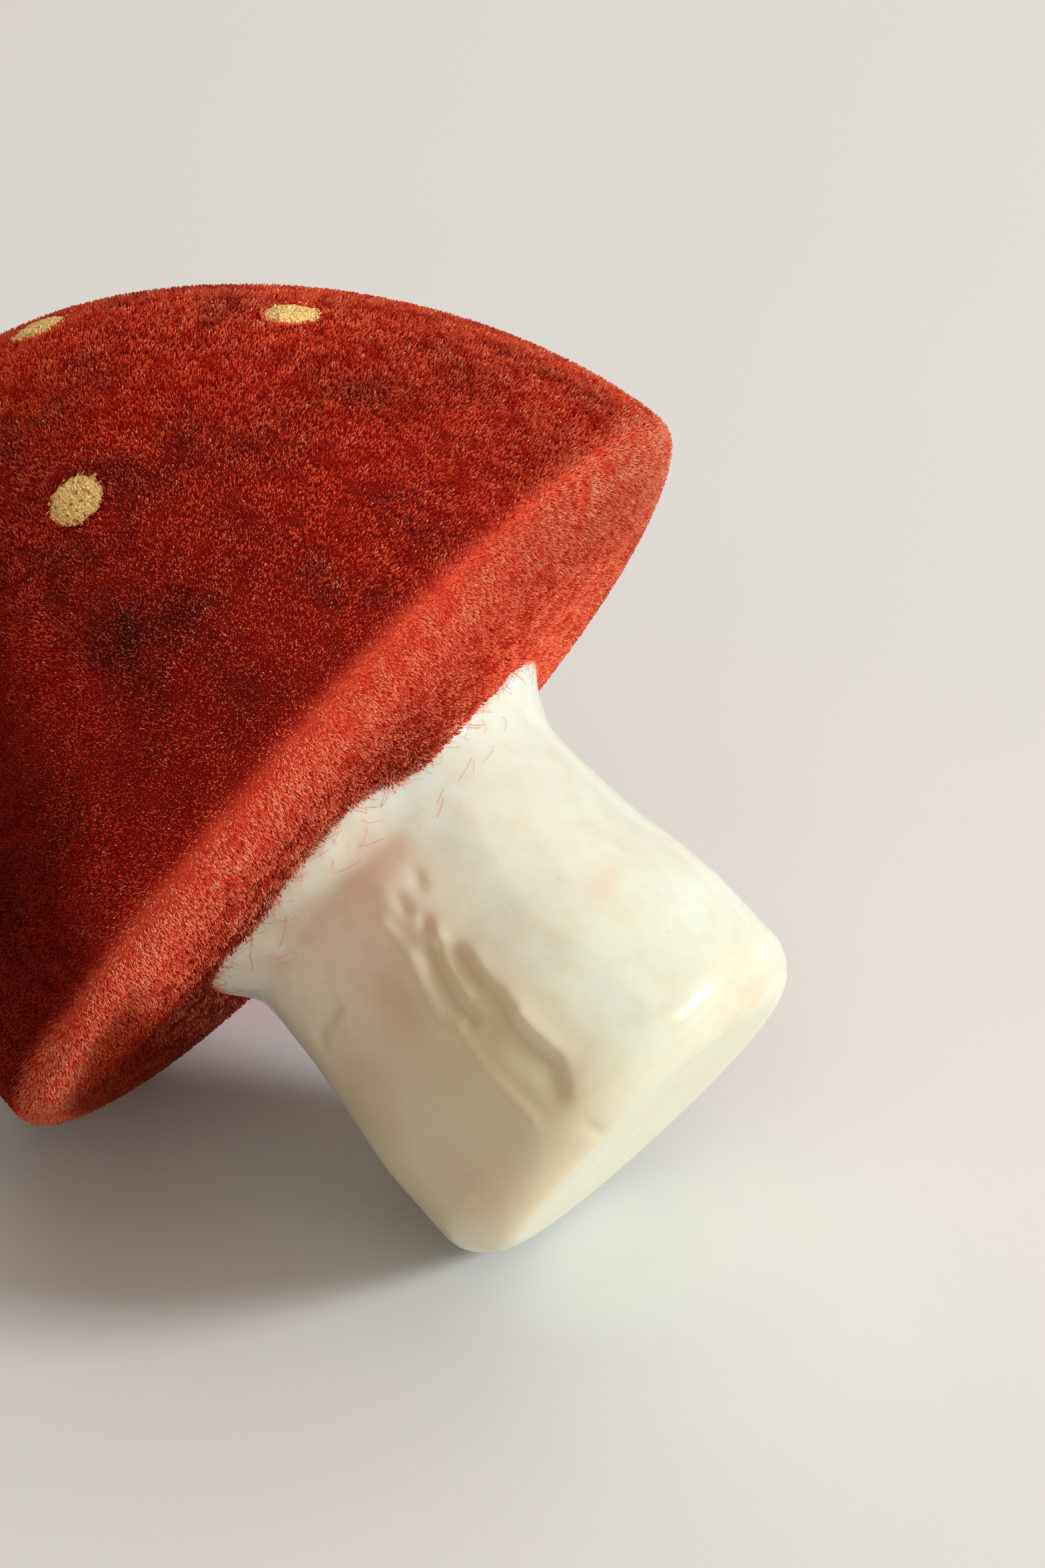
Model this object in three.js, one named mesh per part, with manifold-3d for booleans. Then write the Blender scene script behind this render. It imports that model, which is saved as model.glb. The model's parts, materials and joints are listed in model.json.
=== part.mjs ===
// Velvet mushroom ornament lying on its side, on the rim of its cap and the edge of its foot.
// Millimetres. +Z is up from the table, +X runs along the table from the cap towards the foot.
// The origin is on the table, in the middle of the ornament's footprint.

import * as THREE from 'three';
import { mergeVertices } from 'three/addons/utils/BufferGeometryUtils.js';
import Module from 'manifold-3d';

const wasm = await Module();
wasm.setup();

// Cap, measured over the velvet
const capRadius = 50;
const domeHeight = 61.5; // from the plane of the rim to the crown
const domeRise = 1.67; // exponent of the height in the dome's outline
const domeSpread = 1.67; // exponent of the radius in the dome's outline
const undersideDepth = 7.2; // swell of the underside below the plane of the rim
const undersideFlat = 3; // exponent that keeps the middle of the underside flat
const undersideRoll = 0.63; // exponent that rolls the underside up into the rim

// Cap's layers
const velvetThickness = 1.2;
const fitGap = 0.3; // clearance between pieces that seat on each other

// Stem, standing on its foot at height 0
const stemHeight = 42; // from the foot to the lowest point of the cap's underside
const footRadius = 23.4;
const footRound = 4.8; // rounding of the foot's edge
const bellyRadius = 23.3;
const bellyHeight = 12.6;
const neckRadius = 21;
const neckDrop = 5; // the neck's distance below the cap
const collarFlare = 10; // radius of the hollow curve from the neck out to the collar
const collarLip = 1; // thickness of the collar's edge
const spigotRadius = 10;
const spigotLength = 22;

// How the cap sits on the stem: a little askew, turned about a point on the stem's axis
const capAskew = THREE.MathUtils.degToRad(7.3);
const askewHeight = 73; // of that point above the foot

// Gold dots, in two rings round the dome
const dotRadius = 3;
const dotThickness = 0.5;
const dotRings = [
  { count: 7, drop: 27.8, firstAngle: THREE.MathUtils.degToRad(10.1) },
  { count: 4, drop: 7.1, firstAngle: THREE.MathUtils.degToRad(-0.5) },
]; // drop is the ring's distance below the crown; angles start at the side that faces up

// Facets
const roundSteps = 48;
const domeSteps = 12;
const undersideSteps = 6;
const curveSteps = 4;
const dotRoundSteps = 16;
const dotCrownSteps = 3;
const weldTolerance = 1e-4;
const cutTolerance = 0.01; // shortest edge left along a cut
const levelSteps = 48; // halvings in the search for the lean

// Heights that follow from the sizes above
const rimHeight = stemHeight + undersideDepth;
const neckHeight = stemHeight - neckDrop;
const collarTop = neckHeight + collarFlare + collarLip;

const velvetMaterial = new THREE.MeshStandardMaterial({ color: 0x8c1420, roughness: 0.95, metalness: 0 });
const coreMaterial = new THREE.MeshStandardMaterial({ color: 0xb9a792, roughness: 0.8, metalness: 0 });
const stemMaterial = new THREE.MeshStandardMaterial({ color: 0xe6ddc4, roughness: 0.12, metalness: 0 });
const goldMaterial = new THREE.MeshStandardMaterial({ color: 0xc79a4b, roughness: 0.45, metalness: 1 });

// Turns an outline of (radius, height) points round +Z, with a flat facet towards -X, the side that lies down
function revolve(outline, steps) {
  const firstAngle = Math.PI / steps - Math.PI / 2;
  return new THREE.LatheGeometry(outline, steps, firstAngle).rotateX(Math.PI / 2);
}

function toSolid(geometry) {
  const bare = geometry.clone();
  bare.deleteAttribute('normal');
  bare.deleteAttribute('uv');
  const welded = mergeVertices(bare, weldTolerance);
  const corners = welded.index.array;
  const triangles = [];
  for (let i = 0; i < corners.length; i += 3) {
    const [a, b, c] = corners.slice(i, i + 3);
    if (a !== b && b !== c && c !== a) {
      triangles.push(a, b, c);
    }
  }
  const vertProperties = welded.attributes.position.array;
  return new wasm.Manifold(new wasm.Mesh({ numProp: 3, vertProperties, triVerts: new Uint32Array(triangles) }));
}

function toGeometry(solid) {
  const { vertProperties, triVerts } = solid.simplify(cutTolerance).getMesh();
  const geometry = new THREE.BufferGeometry();
  geometry.setAttribute('position', new THREE.BufferAttribute(vertProperties, 3));
  geometry.setIndex(new THREE.BufferAttribute(triVerts, 1));
  geometry.computeVertexNormals();
  return geometry;
}

function named(name, geometry, material) {
  const mesh = new THREE.Mesh(geometry, material);
  mesh.name = name;
  return mesh;
}

// Radius of the dome at a height above the plane of the rim
function domeRadiusAt(height) {
  return capRadius * (1 - (height / domeHeight) ** domeRise) ** (1 / domeSpread);
}

// Outline of the cap from the middle of its underside round the rim to the crown, drawn in by inset
function capOutline(inset) {
  const radius = capRadius - inset;
  const height = domeHeight - inset;
  const depth = undersideDepth - inset;
  const outline = [];
  for (let i = 0; i <= undersideSteps; i += 1) {
    const out = Math.sin((i / undersideSteps) * (Math.PI / 2));
    outline.push(new THREE.Vector2(radius * out, -depth * (1 - out ** undersideFlat) ** undersideRoll));
  }
  for (let i = 1; i <= domeSteps; i += 1) {
    const turn = (i / domeSteps) * (Math.PI / 2);
    const out = Math.cos(turn) ** (2 / domeSpread);
    const up = Math.sin(turn) ** (2 / domeRise);
    outline.push(new THREE.Vector2(radius * out, height * up));
  }
  return outline;
}

// Outline of the stem from the middle of its foot to the top of its spigot, swollen by grow for a socket
function stemOutline(grow) {
  const rise = neckHeight - bellyHeight;
  const neck = neckRadius + grow;
  const flare = collarFlare - grow;
  const path = new THREE.Path();
  path.moveTo(0, -grow);
  path.lineTo(footRadius - footRound, -grow);
  path.absarc(footRadius - footRound, footRound, footRound + grow, -Math.PI / 2, 0, false);
  path.quadraticCurveTo(bellyRadius + grow, (footRound + bellyHeight) / 2, bellyRadius + grow, bellyHeight);
  path.bezierCurveTo(bellyRadius + grow, bellyHeight + rise / 4, neck, neckHeight - rise / 2, neck, neckHeight);
  path.absarc(neck + flare, neckHeight, flare, Math.PI, Math.PI / 2, true);
  path.lineTo(neck + flare + grow, neckHeight + flare);
  path.lineTo(neck + flare + grow, collarTop + grow);
  path.lineTo(spigotRadius + grow, collarTop + grow);
  path.lineTo(spigotRadius + grow, collarTop + spigotLength + grow);
  path.lineTo(0, collarTop + spigotLength + grow);
  return path.getPoints(curveSteps);
}

// Height of an outline's lowest facet over the table when the upright mushroom leans to this angle
function lowestPoint(outline, base, lean) {
  const facet = Math.cos(Math.PI / roundSteps);
  const heights = outline.map((p) => (p.y + base) * Math.sin(lean) - p.x * facet * Math.cos(lean));
  return Math.min(...heights);
}

// Angle of the stem's axis over the table at which the rim and the foot both touch it
function restingLean() {
  const cap = capOutline(0);
  const stem = stemOutline(0);
  let low = 0;
  let high = Math.PI / 2;
  for (let i = 0; i < levelSteps; i += 1) {
    const lean = (low + high) / 2;
    if (lowestPoint(cap, rimHeight, lean) < lowestPoint(stem, 0, lean)) {
      low = lean;
    } else {
      high = lean;
    }
  }
  return low;
}

// Places the askew cap in the upright mushroom: a turn that is sideways, level with the table
function placeCap(group, lean) {
  const upright = new THREE.Vector3(Math.cos(lean), 0, Math.sin(lean));
  const pivot = new THREE.Vector3(0, 0, askewHeight);
  group.quaternion.setFromAxisAngle(upright, capAskew);
  group.position.set(0, 0, rimHeight - askewHeight).applyQuaternion(group.quaternion).add(pivot);
  group.updateMatrix();
}

function makeStem() {
  return named('stem', revolve(stemOutline(0), roundSteps), stemMaterial);
}

// The socket that the stem needs, seen from the cap
function makeSocket(cap) {
  const grown = revolve(stemOutline(fitGap), roundSteps);
  return toSolid(grown.applyMatrix4(cap.matrix.clone().invert()));
}

function makeCore(socket) {
  const core = toSolid(revolve(capOutline(velvetThickness + fitGap), roundSteps));
  return named('cap_core', toGeometry(core.subtract(socket)), coreMaterial);
}

function makeVelvet(socket) {
  const outside = toSolid(revolve(capOutline(0), roundSteps));
  const inside = toSolid(revolve(capOutline(velvetThickness), roundSteps));
  return named('velvet_coat', toGeometry(outside.subtract(inside).subtract(socket)), velvetMaterial);
}

function makeDot(number, drop, angle) {
  const outline = [new THREE.Vector2(0, 0)];
  for (let i = 0; i <= dotCrownSteps; i += 1) {
    const turn = (i / dotCrownSteps) * (Math.PI / 2);
    outline.push(new THREE.Vector2(dotRadius * Math.cos(turn), dotThickness * Math.sin(turn)));
  }
  const height = domeHeight - drop;
  const radius = domeRadiusAt(height);
  const outward = new THREE.Vector2(
    (domeSpread / capRadius) * (radius / capRadius) ** (domeSpread - 1),
    (domeRise / domeHeight) * (height / domeHeight) ** (domeRise - 1),
  ).normalize();
  const around = new THREE.Vector3(Math.cos(angle), Math.sin(angle), 0);
  const normal = around.clone().multiplyScalar(outward.x).setZ(outward.y);
  const dot = named(`gold_dot_${number}`, revolve(outline, dotRoundSteps), goldMaterial);
  dot.position.copy(around).multiplyScalar(radius).setZ(height).addScaledVector(normal, fitGap);
  dot.quaternion.setFromUnitVectors(new THREE.Vector3(0, 0, 1), normal);
  return dot;
}

function addDots(cap) {
  let number = 1;
  for (const { count, drop, firstAngle } of dotRings) {
    for (let i = 0; i < count; i += 1) {
      cap.add(makeDot(number, drop, firstAngle + (i / count) * 2 * Math.PI));
      number += 1;
    }
  }
}

const lean = restingLean();

const cap = new THREE.Group();
placeCap(cap, lean);
const socket = makeSocket(cap);
cap.add(makeCore(socket), makeVelvet(socket));
addDots(cap);

const mushroom = new THREE.Group();
mushroom.add(makeStem(), cap);
mushroom.rotation.y = lean - Math.PI / 2;

const ornament = new THREE.Group();
ornament.add(mushroom);

// Sets the origin on the table in the middle of the footprint
const box = new THREE.Box3().setFromObject(ornament, true);
const middle = box.getCenter(new THREE.Vector3());
mushroom.position.set(-middle.x, -middle.y, -box.min.z);

export default ornament;
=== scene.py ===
# Velvet mushroom ornament lying on its side: the looks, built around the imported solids

import json
import math
import random

import bmesh
import bpy
from mathutils import Matrix, Vector, noise
from mathutils.bvhtree import BVHTree


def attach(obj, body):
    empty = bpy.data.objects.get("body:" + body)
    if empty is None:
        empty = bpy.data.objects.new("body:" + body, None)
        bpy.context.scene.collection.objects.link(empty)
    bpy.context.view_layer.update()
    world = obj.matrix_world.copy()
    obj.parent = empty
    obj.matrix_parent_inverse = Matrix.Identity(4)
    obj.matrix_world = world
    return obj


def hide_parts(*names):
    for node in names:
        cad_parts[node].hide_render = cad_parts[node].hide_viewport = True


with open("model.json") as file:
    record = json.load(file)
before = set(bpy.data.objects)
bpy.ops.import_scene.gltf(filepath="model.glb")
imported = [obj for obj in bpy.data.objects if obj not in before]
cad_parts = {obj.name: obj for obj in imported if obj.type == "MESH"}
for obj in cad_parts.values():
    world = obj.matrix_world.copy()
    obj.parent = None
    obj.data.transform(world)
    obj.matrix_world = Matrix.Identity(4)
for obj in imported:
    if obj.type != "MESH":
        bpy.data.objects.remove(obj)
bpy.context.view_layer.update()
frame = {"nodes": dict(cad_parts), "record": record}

bl_info = {
    "name": "Velvet Mushroom Ornament",
    "version": (1, 0, 0),
    "blender": (4, 5, 0),
    "location": "3D View > Sidebar > Mushroom",
    "description": "Builds a mushroom ornament with a flocked cap, gold dots and a glazed stem",
    "category": "Object",
}

MM = 0.001
BODY = "root"
UP = Vector((0, 0, 1))
IDENTITY = Matrix.Identity(4)
TINY = 1e-9  # stands in for a length of nothing
WELD = 0.002 * MM  # points nearer than this are joined

# Steps round the axes and along the outlines
STEM_ROUND = 336
FOOT_STEPS = 8
ROLL_STEPS = 22
BELLY_STEPS = 14
WALL_STEPS = 52
FLARE_STEPS = 20
SEAT_STEPS = 2
CAP_ROUND = 192
UNDERSIDE_STEPS = 36
DOME_STEPS = 64
DOT_ROUND = 96
DOT_STEPS = 28
STRAY_STEPS = 6

# Waves of the collar and the hem: degrees round the stem, then millimetres
COLLAR_GROWTH = (
    (-180, 0.6), (-140, 1.2), (-122, 2.2), (-108, 3.4), (-95, 3.9), (-87, 3.4), (-79, 2.0), (-65, 1.9),
    (-53, 1.9), (-42, 1.5), (-34, 0.8), (-24, 0.1), (-8, 0.0), (12, 0.2), (40, 0.4), (75, 0.8), (120, 0.4),
    (150, 0.9),
)
HEM_LIFT = (
    (-180, 0.3), (-140, 0.1), (-113, 0.5), (-98, 0.5), (-79, 0.0), (-65, 0.4), (-53, 0.4),
    (-42, 0.5), (-34, 0.2), (-25, -0.9), (-17, -1.5), (-5, -1.3), (9, -0.9), (26, -0.1), (49, 0.0),
    (80, -0.5), (110, 0.3), (150, -0.4),
)

# Millimetres up the stem over which the collar's waves and the lumps come in and go out
COLLAR_IN = (36.5, 41)
COLLAR_OUT = (43.5, 47)
LUMPS_IN = (0, 3)
LUMPS_OUT = (44, 47)

# Millimetres from the stem's axis over which the hem's waves go out
HEM_WAVES_OUT = (23.5, 34)

# Distances from the stem over which the pile of the hem gives way to the rest; the hem's painted shade
# fades out over the same reach
HEM_REACH = (1.5 * MM, 12 * MM)

# Lumps of the stem: size and share
LUMPS = ((9 * MM, 1.0), (3.2 * MM, 0.3))
BRIM_MARGIN = 0.5  # millimetres over the collar's brim that are still shaped
SPIGOT_MARGIN = 1.1  # times the spigot's radius that is left plain
FOLD_REACH = 3  # half widths at which a fold has died away

# Folds pressed into the stem: height and half widths to the left and the right in millimetres, then the
# line that the fold follows, in degrees round the stem and millimetres up
STEM_FOLDS = (
    (-0.5, 2.6, 1.0, (
        (-44.9, 23.1), (-46.0, 20.7), (-45.2, 17.6), (-47.2, 14.5),
        (-47.6, 11.5), (-46.6, 8.3), (-49.1, 5.9),
    )),
    (0.28, 0.7, 1.2, (
        (-45.5, 25.6), (-42.1, 22.1), (-43.7, 19.8), (-42.6, 15.7),
        (-44.2, 13.5), (-43.5, 10.1), (-42.6, 8.0),
    )),
    (0.2, 0.8, 1.0, ((-43.3, 14.3), (-43.2, 12.1), (-42.3, 10.1))),
    (0.9, 6.0, 7.0, ((-50, 31), (-50, 7))),
    (-0.4, 0.8, 0.7, ((-50.0, 25.6), (-52.8, 23.2), (-54.2, 19.6), (-53.6, 17.1))),
    (0.34, 1.3, 0.8, ((-54.7, 30.6), (-54.8, 26.8), (-57.2, 24.1), (-59.1, 21.5), (-60.4, 18.9))),
    (0.34, 1.4, 0.9, ((-58.0, 17.4), (-59.2, 14.1), (-59.6, 11.5), (-59.6, 8.4), (-59.2, 5.6))),
    (0.24, 0.7, 0.7, ((-46.2, 25.2), (-48.9, 22.3), (-49.8, 19.6))),
    (-0.28, 0.8, 0.8, ((-46.9, 31.4), (-47.6, 30.2))),
    (-0.24, 0.9, 0.8, ((-39.0, 32.2), (-40.2, 31.2))),
    (-0.24, 0.7, 0.7, ((-45.4, 28.1), (-46.2, 27.4))),
    (0.22, 0.7, 0.7, ((-44.6, 26.7), (-45.3, 26.0))),
    (-0.26, 0.9, 0.9, ((-84, 28.8), (-94.5, 28.7), (-101, 28.3))),
    (-0.45, 0.7, 0.7, ((-50.5, 1.2), (-50.5, 0.6))),
)

# Pinkish patches of the glaze: degrees round the stem, millimetres up and radius in millimetres
BLUSH_SPOTS = (
    (-75, 38, 6), (-67, 23, 6), (-41, 36.5, 7), (-90, 37, 6), (-96, 19.5, 8), (-85, 6, 8), (0, 18, 6),
    (12, 1, 7), (60, 30, 7), (110, 12, 8), (160, 34, 7), (-150, 20, 8), (85, 5, 6),
)

# Shares of the glaze's tints, and of the painted shade on one side, where they are strongest
THIN_SHARE = 0.22
SHADED_SIDE_SHARE = 0.85
POOL_SHARE = 0.55
MOTTLED_SHARE = 0.25
FOOT_SHARE = 0.35
ROSY_SHARE = 0.13
BLUSH_SHARE = 0.45
SPECK_SHARE = 0.18

# Heights over the foot between which the glaze, its painted shade and its painted light change
BARE_EDGE = (0.6 * MM, 2.2 * MM)
FOOT_EDGE = (0.5 * MM, 6 * MM)
LIT_UPPER_EDGE = (20 * MM, 36 * MM)
SHADED_SIDE_EDGE = (34 * MM, 40 * MM)
POOL_PRESS = 0.5  # millimetres of depth at which the glaze pools the most
BARE_ROUGHNESS = 0.7  # of the foot's edge

# Masks of the velvet: its crushed patches, and where light and shade are painted on it
WEAR_AND_LIGHT = ("Crushed", "Rim", "Faded", "Far", "Near", "Low")

# Crushed patches of the pile: degrees round the cap, millimetres over the rim's plane and radius in
# millimetres
CRUSHED_SPOTS = (
    (-32, 7, 10), (-37, 16, 12), (-14, 6, 8), (-50, 20, 12), (-16, 24, 9), (-3, 6, 6), (-65, 14, 12),
    (-49, 10, 9), (-3, 20, 7), (-51, 29, 9), (-74, 11, 11), (-87, 8, 10), (-75, 17, 10), (35, 22, 9),
    (80, 34, 11), (95, 12, 8), (135, 20, 12), (170, 38, 10), (-160, 14, 11), (-130, 40, 9),
)
SPOT_SPREAD = 1.5  # times the radius at which a crushed patch has faded out

# The way that the pile is brushed, and the way towards the side that faces the lamp, along which light and
# shade are painted on the pile
COMBED = (0.78, 0.63, 0.0)
LAMPLIT_WAY = (0.41, 0.76, 0.5)

# Heights over the rim's plane between which the crushed patches, the comb, the rim's painted light and the
# low end's painted shade change
DOME_EDGE = (-1 * MM, 4 * MM)
COMB_EDGE = (-0.5 * MM, 5 * MM)
LIT_RIM_TOP = (-1.0 * MM, 2.2 * MM)
LIT_RIM_FOOT = (-5.5 * MM, -3 * MM)
SPARED_EDGE = (-4.2 * MM, -2.2 * MM)
LIT_RIM_WAVES = 6 * MM  # how far the rim's upper edge wanders

# Distances towards the side that faces the lamp between which the pile's painted light and painted shade
# change
LAMPLIT_EDGE = (-5 * MM, 28 * MM)
FAR_EDGE = (38 * MM, 66 * MM)
NEAR_START = (0 * MM, 26 * MM)
NEAR_END = (27 * MM, 42 * MM)
LOW_EDGE = (-12 * MM, -2 * MM)
LOW_SLOPE = -0.4  # how the low end draws in towards the crown

# Shades of the fibres: the spans over which their tips change, and the share of each change. Glints and
# sparks are painted glints, and the curled tips along the hem carry painted shade
TIP_SPAN = (0.16, 0.72)
GLINT_SPAN = (0.88, 0.93)
CURLED_SHADE_SPAN = (0.4, 0.95)
# SPARK marks the few fibres given painted glints
SPARK = 1.3  # shade of the few fibres that catch the light
SPARK_SPAN = (1.02, SPARK)
GLINT_SHARE = 0.8
SPARK_SHARE = 0.55
CRUSHED_SHARE = 0.8
CURLED_SHADE_SHARE = 0.85
LIT_RIM_SHARE = 0.75

# Parts of a fibre's length over which its colours change; the dark root is painted shade deep in the pile
STALK_SPAN = (0.1, 0.5)
TOP_SPAN = (0.4, 0.9)

# Fibres: sizes against the common one, shares of the tuft and the fibre itself in its shade, random seeds
FIBRE_SIZES = (0.7, 1.25)
TUFT_SHARE = 0.65
OWN_SHARE = 0.35
TUFT_SPAN = (0.32, 0.68)
SPARK_CHANCE = (0.972, 0.985)
SHADE_SEED = 3
SPARK_SEED = 11

# Brushed and tufted pile: scale and detail of the noise, and times the nap
BRUSHED = ((70, 2, 4), (420, 1, 2))

# Pile under the dots: times the dot's radius over which it is matted, and its length there
MATTED_EDGE = (0.8, 1.05)
MATTED_LENGTH = 0.25

# A fibre's corners in its cell of the colour map
CHART_ROOT = (0.5, 0.06)
CHART_TIPS = ((0.1, 0.8), (0.9, 0.8), (0.5, 0.96))

# The search for the hem, in steps up the stem: it starts so far below the neck's top and ends so far
# below the brim
HEM_START = 2 * MM
HEM_END = 1 * MM
HEM_STEP = 0.15 * MM
HEM_DEPTH = 0.9  # times a fibre's length from the backing at which the hem is met
RAY_START = 60  # millimetres from the stem's axis

# Loose fibres, in millimetres
STRAY_SLIPPED = 0.12  # share that has slipped down the collar
STRAY_SLIPS = (1, 4)
STRAY_LENGTHS = (0.3, 1.4)
STRAY_DRIFT = 0.8  # spread of their slants
STRAY_BEND = 1.2  # spread of their bends
STRAY_ARCH = 0.2
STRAY_ROOT = 0.4
STRAY_LIFT = 0.03

# Rows of gold dots: how many, millimetres below the crown and degrees round of the first
DOT_ROWS = ((7, 27.8, 10.1), (4, 7.1, -0.5))
DOT_SEED = 11
DOT_BASE = 0.9  # share of the radius that the buried face takes up
DOT_FLATNESS = 4  # exponent that keeps the middle of a dot flat
DOT_RAGGED = 0.07  # share of the radius that the edge wanders
DOT_EDGE = (0.5, 1)  # shares of the radius between which that starts
FINE_GRAIN = 0.22 * MM
COARSE_GRAIN = 0.6 * MM
COARSE_SHARE = 0.7
DOT_SHIFT = 9  # how far apart the dots lie in the noise

# Waves of a dot's edge: how fine they are, their layer of the noise and their share
DOT_WAVES = ((4, 0, 1.0), (11, 3, 0.6))

# Flakes of paint along a dot's edge, in millimetres and shares of the radius
FLAKES = 46
FLAKE_SPREAD = 0.06
FLAKE_SIZES = (0.09, 0.2)
FLAKE_RISES = (-0.15, 0.25)
FLAKE_SHAPE = (1.3, 1, 0.5, 1)
FLAKE_TURN = 3  # radians at most

# Bare and dusty casting
CASTING = (0.45, 0.36, 0.27)
DUSTY_CASTING = (0.52, 0.43, 0.33)

# Floor and camera
FLOOR_RADIUS = 12
FLOOR_SIDES = 64
FLOOR_SHADE = 0.985  # of its darker patches
SENSOR_WIDTH = 36
CLIP_START = 0.01
CLIP_END = 50


def length(name, description, millimetres):
    """A length that the panel shows."""
    return bpy.props.FloatProperty(
        name=name, description=description, default=millimetres * MM, precision=5, unit="LENGTH"
    )


def angle(name, description, degrees):
    """An angle that the panel shows."""
    return bpy.props.FloatProperty(
        name=name, description=description, default=math.radians(degrees), subtype="ANGLE"
    )


def colour(name, description, red, green, blue):
    """A colour that the panel shows."""
    return bpy.props.FloatVectorProperty(
        name=name, description=description, default=(red, green, blue), size=3, min=0, max=1,
        subtype="COLOR",
    )


def number(name, description, value):
    """A plain number that the panel shows."""
    return bpy.props.FloatProperty(name=name, description=description, default=value, precision=4)


def whole(name, description, value):
    """A whole number that the panel shows."""
    return bpy.props.IntProperty(name=name, description=description, default=value)


class StemSettings(bpy.types.PropertyGroup):
    """Sizes and colours of the stem"""

    foot_radius: length("Foot radius", "Radius of the foot", 23.4)
    foot_round: length("Foot rounding", "Rise of the foot's rounded edge", 5.4)
    foot_roll: length("Foot roll", "Width of the foot's rounded edge", 6)
    belly_radius: length("Belly radius", "Radius at the widest part", 23.3)
    belly_height: length("Belly height", "Height of the widest part over the foot", 12.6)
    neck_radius: length("Neck radius", "Radius just under the collar", 21)
    neck_height: length("Neck height", "Height of the neck over the foot", 37)
    flare: length("Collar flare", "Radius of the hollow curve out to the collar", 10)
    lip: length("Collar lip", "Thickness of the collar's edge", 1)
    spigot_radius: length("Spigot radius", "Radius of the peg inside the cap", 10)
    spigot_length: length("Spigot length", "Length of the peg inside the cap", 22)
    lumps: length("Lumps", "Unevenness of the hand-finished surface", 0.22)
    cream: colour("Cream", "Colour of the glaze", 0.77, 0.85, 0.75)
    tan: colour("Tan", "Colour where the glaze is thin", 0.74, 0.63, 0.41)
    # Painted shade: the side turned from the lamp is painted tan, and painted light lightens its upper
    # part with the chalk colour
    shaded_side: angle("Thin side", "Side of the stem where the glaze is thin", -85)
    chalk: colour("Chalk", "Colour of the thin side's upper part", 1.0, 0.93, 0.77)
    pool: colour("Pool", "Colour where the glaze pools in the folds", 0.7, 0.65, 0.4)
    blush: colour("Blush", "Colour of the pinkish patches", 0.72, 0.45, 0.29)


class CapSettings(bpy.types.PropertyGroup):
    """Sizes of the cap and how it sits on the stem"""

    radius: length("Radius", "Radius over the velvet", 50)
    dome_height: length("Dome height", "Height of the crown over the plane of the rim", 61.5)
    dome_power: number("Dome power", "Exponent of the dome's outline", 1.67)
    underside_depth: length("Underside depth", "Swell of the underside below the rim", 7.2)
    underside_flat: number("Underside flat", "Exponent that keeps the middle flat", 3)
    underside_roll: number("Underside roll", "Exponent that rolls the underside into the rim", 0.63)
    hole_radius: length("Hole radius", "Radius of the skin's edge, buried in the stem", 18.5)
    rim_height: length("Rim height", "Height of the rim's plane over the foot", 49.2)
    askew: angle("Askew", "Turn of the cap on the stem", 7.3)
    askew_height: length("Askew height", "Height of the point it turns about", 73)
    skin_inset: length("Skin inset", "Depth of the backing under the tips of the pile", 0.7)
    skin_thickness: length("Skin thickness", "Thickness of the backing", 0.35)


class PileSettings(bpy.types.PropertyGroup):
    """Sizes and colours of the velvet's pile"""

    fibre_length: length("Fibre length", "Length of a fibre", 1.0)
    fibre_radius: length("Fibre radius", "Radius of a fibre at its tip", 0.062)
    per_mm2: number("Fibres", "Fibres on a square millimetre", 19)
    nap: number("Nap", "How far patches of pile are brushed over", 0.25)
    tousle: number("Tousle", "How far each fibre leans its own way", 0.28)
    comb: number("Comb", "How far the dome's pile is brushed to one side", 0.3)
    hem_push: number("Hem push", "How far the collar pushes the pile outwards at the hem", 1.1)
    strays: whole("Strays", "Loose fibres along the hem", 420)
    stray_radius: length("Stray radius", "Radius of a loose fibre", 0.018)
    sectors: whole("Sectors", "Pieces that the pile is split into", 10)
    seed: whole("Seed", "Seed of the fibres' places", 7)
    # Painted shade: the roots are dark where shade falls deep in the pile
    root: colour("Root red", "Colour at the foot of the fibres", 0.22, 0.003, 0.001)
    middle: colour("Middle red", "Colour half way up the fibres", 1.0, 0.02, 0.008)
    deep: colour("Deep red", "Colour of the darkest tips", 0.56, 0.012, 0.004)
    # Painted light: tips are brighter and more orange along the rim and on the side towards the lamp
    rich: colour("Rich red", "Colour of the brightest tips on the dimmer side", 1.0, 0.1, 0.042)
    warm: colour("Warm red", "Colour of the brightest tips on the faded side", 1.0, 0.14, 0.058)
    bright: colour("Bright red", "Colour of the brightest tips along the rim", 1.0, 0.3, 0.168)
    # Painted glints: a few fibres are painted pale orange
    glint: colour("Glint", "Colour of the few fibres that shine", 1.0, 0.54, 0.32)
    shy: colour("Shy tint", "Tint of the far end, where the pile catches less light", 0.76, 0.8, 0.8)
    shaded: colour("Shaded tint", "Tint of the low end, turned from the light", 0.36, 0.16, 0.09)
    dull: colour("Dull red", "Colour of the brightest tips in crushed patches", 0.40, 0.095, 0.07)
    soot: colour("Soot red", "Colour of the darkest pile", 0.05, 0.007, 0.005)
    backing: colour("Backing", "Colour of the cloth under the pile", 0.46, 0.009, 0.0035)


class DotSettings(bpy.types.PropertyGroup):
    """Sizes and colours of the gold dots"""

    radius: length("Radius", "Radius of a dot", 3)
    crown: length("Crown", "Height of a dot's middle", 0.5)
    sink: length("Sink", "Depth of a dot's edge in the pile", 0.35)
    grain: length("Grain", "Height of the paint's grains", 0.16)
    gold: colour("Gold", "Colour of the paint", 1.0, 0.715, 0.29)
    worn: colour("Worn gold", "Colour where the paint is thin", 0.42, 0.24, 0.08)


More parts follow.
